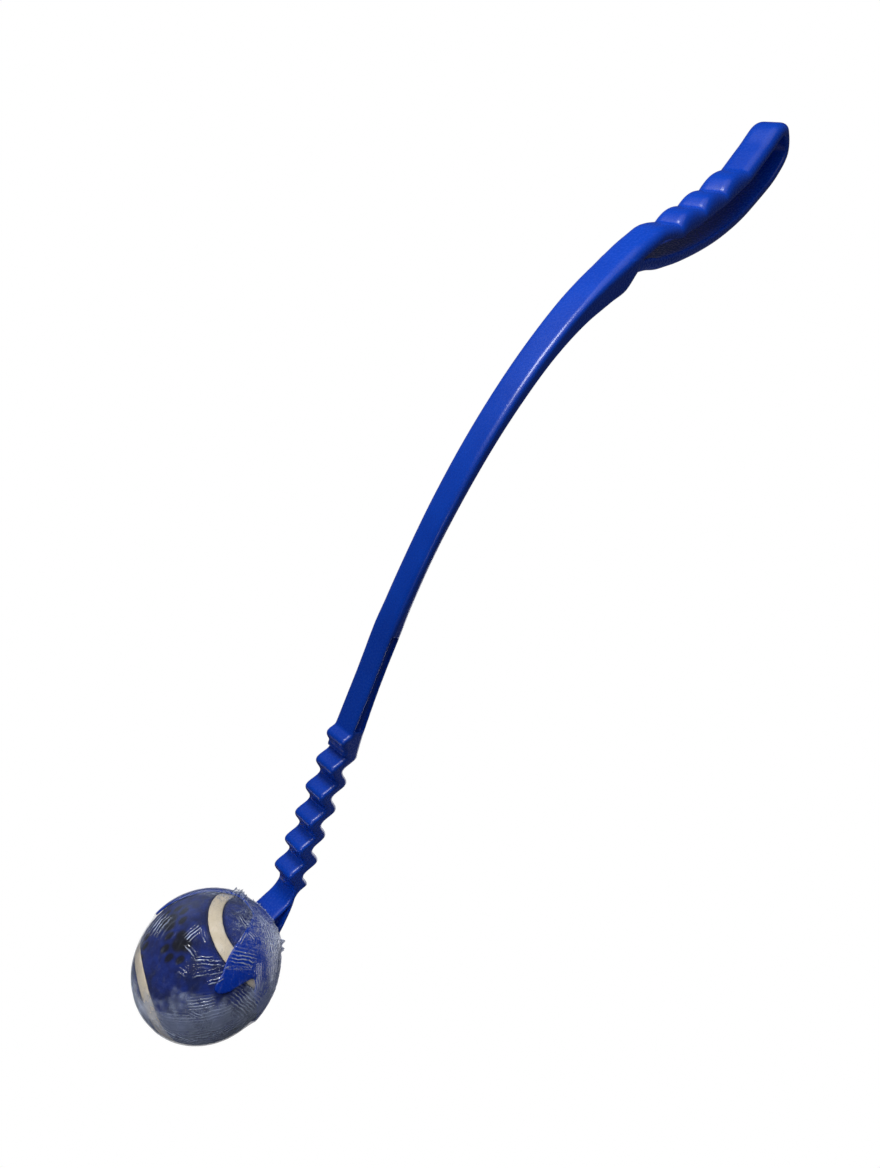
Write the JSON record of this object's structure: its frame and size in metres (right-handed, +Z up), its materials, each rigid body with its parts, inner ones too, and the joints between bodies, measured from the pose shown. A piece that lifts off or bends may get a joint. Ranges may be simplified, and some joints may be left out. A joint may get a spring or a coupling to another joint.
{
  "type": "dog ball launcher",
  "caption": "Long plastic throwing arm with a ridged finger grip, a folded spring neck and a claw cup holding a felt ball under clear shrink film.",
  "frame": {"origin": "centre of the bounding box, on the ground, as the launcher lies on its side", "axes": "+X from the cup to the grip's end, along the launcher; +Y across it, mostly the way that the ball flies; +Z up"},
  "size_m": [0.5336, 0.0858, 0.0659],
  "materials": {
    "plastic": "glossy moulded royal-blue plastic",
    "rubber": "plain dark moulded rubber, hidden",
    "felt": "short blue felt nap with dark printed paws",
    "seam": "matt cream seam glue",
    "film": "clear glossy shrink film with fine pleats"
  },
  "bodies": {
    "grip_arm": {"finger_grip": "plastic", "throwing_arm": "plastic"},
    "fold_1": {"neck_fold_1": "plastic"},
    "fold_2": {"neck_fold_2": "plastic"},
    "fold_3": {"neck_fold_3": "plastic"},
    "fold_4": {"neck_fold_4": "plastic"},
    "head": {"cup_head": "plastic", "cup_shell": "plastic", "shrink_film": "film"},
    "prong_near": {"prong_near": "plastic"},
    "prong_far": {"prong_far": "plastic"},
    "prong_back": {"prong_back": "plastic"},
    "ball": {"ball_core_half_a": "rubber", "ball_core_half_b": "rubber", "ball_felt_panel_a": "felt", "ball_felt_panel_b": "felt", "ball_seam": "seam"}
  },
  "joints": [
    {"name": "neck_flex_1", "type": "hinge", "parent": "grip_arm", "child": "fold_1", "pos_m": [-0.12287, -0.00578, 0.02687], "axis": [0.0482, 0.1475, 0.9879], "range_deg": [-2.5, 2.5], "stiffness_Nm_per_rad": 28.5},
    {"name": "neck_flex_2", "type": "hinge", "parent": "fold_1", "child": "fold_2", "pos_m": [-0.13593, -0.01038, 0.02819], "axis": [0.0482, 0.1475, 0.9879], "range_deg": [-2.5, 2.5]},
    {"name": "neck_flex_3", "type": "hinge", "parent": "fold_2", "child": "fold_3", "pos_m": [-0.14898, -0.01498, 0.02951], "axis": [0.0482, 0.1475, 0.9879], "range_deg": [-2.5, 2.5]},
    {"name": "neck_flex_4", "type": "hinge", "parent": "fold_3", "child": "fold_4", "pos_m": [-0.16203, -0.01958, 0.03084], "axis": [0.0482, 0.1475, 0.9879], "range_deg": [-2.5, 2.5]},
    {"name": "neck_flex_5", "type": "hinge", "parent": "fold_4", "child": "head", "pos_m": [-0.17483, -0.02493, 0.03226], "axis": [0.0482, 0.1475, 0.9879], "range_deg": [-2.5, 2.5]},
    {"name": "ball_release", "type": "slide", "parent": "head", "child": "ball", "axis": [-0.7491, 0.6596, -0.062], "range_m": [0, 0.02], "deforming": ["shrink_film"]},
    {"name": "prong_near_flex", "type": "hinge", "parent": "head", "child": "prong_near", "pos_m": [-0.21349, 0.00348, 0.05285], "axis": [0.449, 0.4367, -0.7796], "range_deg": [0, 7], "deforming": ["shrink_film"]},
    {"name": "prong_far_flex", "type": "hinge", "parent": "head", "child": "prong_far", "pos_m": [-0.21568, -0.00321, 0.00806], "axis": [-0.5149, -0.6385, -0.572], "range_deg": [0, 7], "deforming": ["shrink_film"]},
    {"name": "prong_back_flex", "type": "hinge", "parent": "head", "child": "prong_back", "pos_m": [-0.24917, -0.03845, 0.03791], "axis": [0.0482, 0.1475, 0.9879], "range_deg": [0, 7], "deforming": ["shrink_film"]}
  ],
  "couplings": [
    {"joint": "neck_flex_2", "follows": "neck_flex_1", "ratio": 1},
    {"joint": "neck_flex_3", "follows": "neck_flex_1", "ratio": 1},
    {"joint": "neck_flex_4", "follows": "neck_flex_1", "ratio": 1},
    {"joint": "neck_flex_5", "follows": "neck_flex_1", "ratio": 1},
    {"joint": "prong_near_flex", "follows": "ball_release", "rad_per_m": 6},
    {"joint": "prong_far_flex", "follows": "ball_release", "rad_per_m": 6},
    {"joint": "prong_back_flex", "follows": "ball_release", "rad_per_m": 6}
  ]
}
